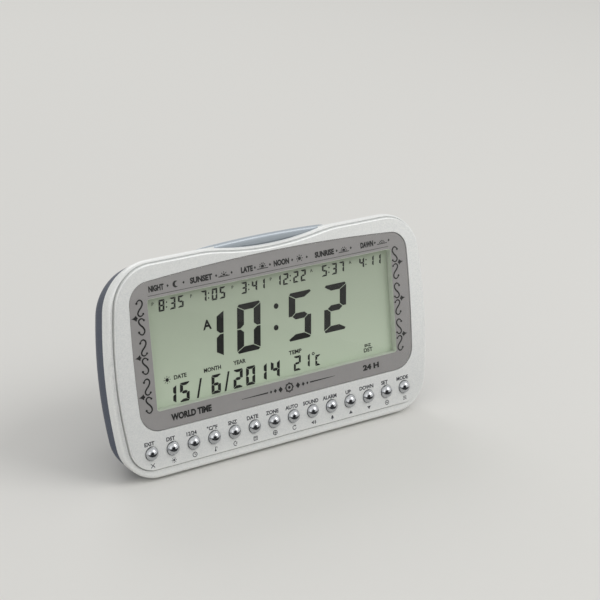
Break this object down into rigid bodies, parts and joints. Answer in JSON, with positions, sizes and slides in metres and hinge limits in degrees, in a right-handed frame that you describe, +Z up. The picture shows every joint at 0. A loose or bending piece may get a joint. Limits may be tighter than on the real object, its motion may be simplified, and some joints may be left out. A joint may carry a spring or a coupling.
{
  "type": "table clock",
  "caption": "Digital prayer-time table clock with an arched display window, a row of domed keys, a snooze bar on top and a rear battery door.",
  "frame": {"origin": "middle of the bounding box on the surface that the clock stands on", "axes": "+Z up, the display faces -Y and leans back 8 degrees, +X to the right as seen from the front"},
  "size_m": [0.1536, 0.054, 0.0872],
  "materials": {
    "silver_paint": "satin silver paint on ABS",
    "slate_abs": "fine moulded texture",
    "clear_acrylic": "clear moulded acrylic",
    "printed_film": "printed grey film",
    "polariser": "satin polarising film",
    "display_glass": "polished glass",
    "reflector": "satin reflecting film",
    "guide_acrylic": "clear acrylic with a dot print",
    "lamp_resin": "moulded resin",
    "elastomer": "layered elastomer",
    "white_abs": "moulded",
    "circuit_board": "solder resist",
    "flat_cable": "flat cable",
    "black_resin": "cast resin",
    "nickel_can": "drawn can",
    "capacitor_sleeve": "shrunk sleeve",
    "silicone_mat": "moulded silicone",
    "carbon_pill": "carbon filled silicone",
    "plated_key": "satin chrome plated ABS",
    "pearl_blue_abs": "pearl blue-grey satin",
    "spring_steel": "drawn wire",
    "nickel_plate": "nickel plated",
    "cell_sleeve": "printed sleeve",
    "zinc_steel": "zinc plated",
    "paper_cone": "pressed paper",
    "screw_steel": "blackened zinc",
    "foot_rubber": "moulded rubber",
    "lead_red": "insulated wire"
  },
  "bodies": {
    "case": {"front_frame": "silver_paint", "rear_housing": "slate_abs", "display_lens": "clear_acrylic", "lens_mask": "printed_film", "front_polariser": "polariser", "front_glass": "display_glass", "rear_glass": "display_glass", "rear_polariser": "reflector", "light_guide": "guide_acrylic", "backlight_leds": "lamp_resin", "zebra_strips": "elastomer", "display_holder": "white_abs", "main_board": "circuit_board", "key_board": "circuit_board", "key_ribbon": "flat_cable", "chip_blob": "black_resin", "crystal": "nickel_can", "capacitors": "capacitor_sleeve", "temperature_sensor": "black_resin", "keypad_mat": "silicone_mat", "contact_pills": "carbon_pill", "snooze_spring_left": "spring_steel", "snooze_spring_right": "spring_steel", "snooze_switch": "black_resin", "cell_springs": "spring_steel", "cell_plates": "nickel_plate", "speaker_basket": "zinc_steel", "speaker_magnet": "zinc_steel", "speaker_cone": "paper_cone", "speaker_clips": "zinc_steel", "case_screws": "screw_steel", "board_screws": "screw_steel", "keyboard_screws": "screw_steel", "clip_screws": "screw_steel", "rubber_feet": "foot_rubber", "speaker_leads": "lead_red", "battery_leads": "lead_red", "cell_upper": "cell_sleeve", "cell_lower": "cell_sleeve"},
    "key_01": {"key_cap_01": "plated_key"},
    "key_02": {"key_cap_02": "plated_key"},
    "key_03": {"key_cap_03": "plated_key"},
    "key_04": {"key_cap_04": "plated_key"},
    "key_05": {"key_cap_05": "plated_key"},
    "key_06": {"key_cap_06": "plated_key"},
    "key_07": {"key_cap_07": "plated_key"},
    "key_08": {"key_cap_08": "plated_key"},
    "key_09": {"key_cap_09": "plated_key"},
    "key_10": {"key_cap_10": "plated_key"},
    "key_11": {"key_cap_11": "plated_key"},
    "key_12": {"key_cap_12": "plated_key"},
    "key_13": {"key_cap_13": "plated_key"},
    "key_14": {"key_cap_14": "plated_key"},
    "snooze": {"snooze_bar": "pearl_blue_abs", "switch_plunger": "white_abs"},
    "door": {"battery_door": "slate_abs"}
  },
  "joints": [
    {"name": "key_01_press", "type": "slide", "parent": "case", "child": "key_01", "axis": [0, 0.9903, -0.1392], "range_m": [0, 0.0009], "stiffness_N_per_m": 400, "springref_m": -0.001, "deforming": ["keypad_mat", "contact_pills"]},
    {"name": "key_02_press", "type": "slide", "parent": "case", "child": "key_02", "axis": [0, 0.9903, -0.1392], "range_m": [0, 0.0009], "stiffness_N_per_m": 400, "springref_m": -0.001, "deforming": ["keypad_mat", "contact_pills"]},
    {"name": "key_03_press", "type": "slide", "parent": "case", "child": "key_03", "axis": [0, 0.9903, -0.1392], "range_m": [0, 0.0009], "stiffness_N_per_m": 400, "springref_m": -0.001, "deforming": ["keypad_mat", "contact_pills"]},
    {"name": "key_04_press", "type": "slide", "parent": "case", "child": "key_04", "axis": [0, 0.9903, -0.1392], "range_m": [0, 0.0009], "stiffness_N_per_m": 400, "springref_m": -0.001, "deforming": ["keypad_mat", "contact_pills"]},
    {"name": "key_05_press", "type": "slide", "parent": "case", "child": "key_05", "axis": [0, 0.9903, -0.1392], "range_m": [0, 0.0009], "stiffness_N_per_m": 400, "springref_m": -0.001, "deforming": ["keypad_mat", "contact_pills"]},
    {"name": "key_06_press", "type": "slide", "parent": "case", "child": "key_06", "axis": [0, 0.9903, -0.1392], "range_m": [0, 0.0009], "stiffness_N_per_m": 400, "springref_m": -0.001, "deforming": ["keypad_mat", "contact_pills"]},
    {"name": "key_07_press", "type": "slide", "parent": "case", "child": "key_07", "axis": [0, 0.9903, -0.1392], "range_m": [0, 0.0009], "stiffness_N_per_m": 400, "springref_m": -0.001, "deforming": ["keypad_mat", "contact_pills"]},
    {"name": "key_08_press", "type": "slide", "parent": "case", "child": "key_08", "axis": [0, 0.9903, -0.1392], "range_m": [0, 0.0009], "stiffness_N_per_m": 400, "springref_m": -0.001, "deforming": ["keypad_mat", "contact_pills"]},
    {"name": "key_09_press", "type": "slide", "parent": "case", "child": "key_09", "axis": [0, 0.9903, -0.1392], "range_m": [0, 0.0009], "stiffness_N_per_m": 400, "springref_m": -0.001, "deforming": ["keypad_mat", "contact_pills"]},
    {"name": "key_10_press", "type": "slide", "parent": "case", "child": "key_10", "axis": [0, 0.9903, -0.1392], "range_m": [0, 0.0009], "stiffness_N_per_m": 400, "springref_m": -0.001, "deforming": ["keypad_mat", "contact_pills"]},
    {"name": "key_11_press", "type": "slide", "parent": "case", "child": "key_11", "axis": [0, 0.9903, -0.1392], "range_m": [0, 0.0009], "stiffness_N_per_m": 400, "springref_m": -0.001, "deforming": ["keypad_mat", "contact_pills"]},
    {"name": "key_12_press", "type": "slide", "parent": "case", "child": "key_12", "axis": [0, 0.9903, -0.1392], "range_m": [0, 0.0009], "stiffness_N_per_m": 400, "springref_m": -0.001, "deforming": ["keypad_mat", "contact_pills"]},
    {"name": "key_13_press", "type": "slide", "parent": "case", "child": "key_13", "axis": [0, 0.9903, -0.1392], "range_m": [0, 0.0009], "stiffness_N_per_m": 400, "springref_m": -0.001, "deforming": ["keypad_mat", "contact_pills"]},
    {"name": "key_14_press", "type": "slide", "parent": "case", "child": "key_14", "axis": [0, 0.9903, -0.1392], "range_m": [0, 0.0009], "stiffness_N_per_m": 400, "springref_m": -0.001, "deforming": ["keypad_mat", "contact_pills"]},
    {"name": "snooze_press", "type": "slide", "parent": "case", "child": "snooze", "axis": [0, -0.1392, -0.9903], "range_m": [0, 0.0012], "stiffness_N_per_m": 300, "springref_m": -0.002, "deforming": ["snooze_spring_left", "snooze_spring_right"]},
    {"name": "battery_door_slide", "type": "slide", "parent": "case", "child": "door", "axis": [-1, 0, 0], "range_m": [0, 0.062]}
  ]
}
